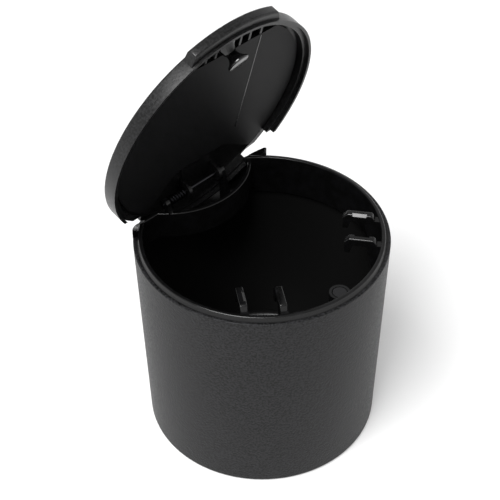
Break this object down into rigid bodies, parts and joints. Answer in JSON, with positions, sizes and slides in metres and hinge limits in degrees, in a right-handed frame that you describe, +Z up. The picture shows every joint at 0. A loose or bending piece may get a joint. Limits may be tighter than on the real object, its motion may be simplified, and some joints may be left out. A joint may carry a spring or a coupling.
{
  "type": "center console ashtray",
  "caption": "Round black cup-holder ashtray with a sprung hinged lid, cigarette rests, guarded hinge bay, thumb tab and magnetic catch.",
  "frame": {"origin": "centre of the cup's base, on the surface that it stands on", "axes": "+Z up along the cup's axis, +Y towards the hinge, +X along the hinge pin"},
  "size_m": [0.0742, 0.0739, 0.1353],
  "materials": {
    "grained_abs": "fine spark grain, matt black",
    "gloss_abs": "polished black",
    "satin_abs": "satin black",
    "liner_abs": "satin black with a fine grain",
    "bright_steel": "drawn steel rod",
    "spring_wire": "drawn spring wire",
    "plated_magnet": "black plated disc"
  },
  "bodies": {
    "cup_body": {"cup": "grained_abs", "rim_ring": "gloss_abs", "catch_magnet": "plated_magnet", "hinge_pin": "bright_steel", "hinge_spring": "spring_wire"},
    "lid": {"lid_cover": "satin_abs", "lid_liner": "liner_abs", "latch_hook": "gloss_abs"}
  },
  "joints": [
    {"name": "lid_hinge", "type": "hinge", "parent": "cup_body", "child": "lid", "pos_m": [0, 0.02776, 0.07018], "axis": [1, 0, 0], "range_deg": [0, 73.6], "stiffness_Nm_per_rad": 0.0043, "springref_deg": -33.23, "deforming": ["hinge_spring"]}
  ]
}
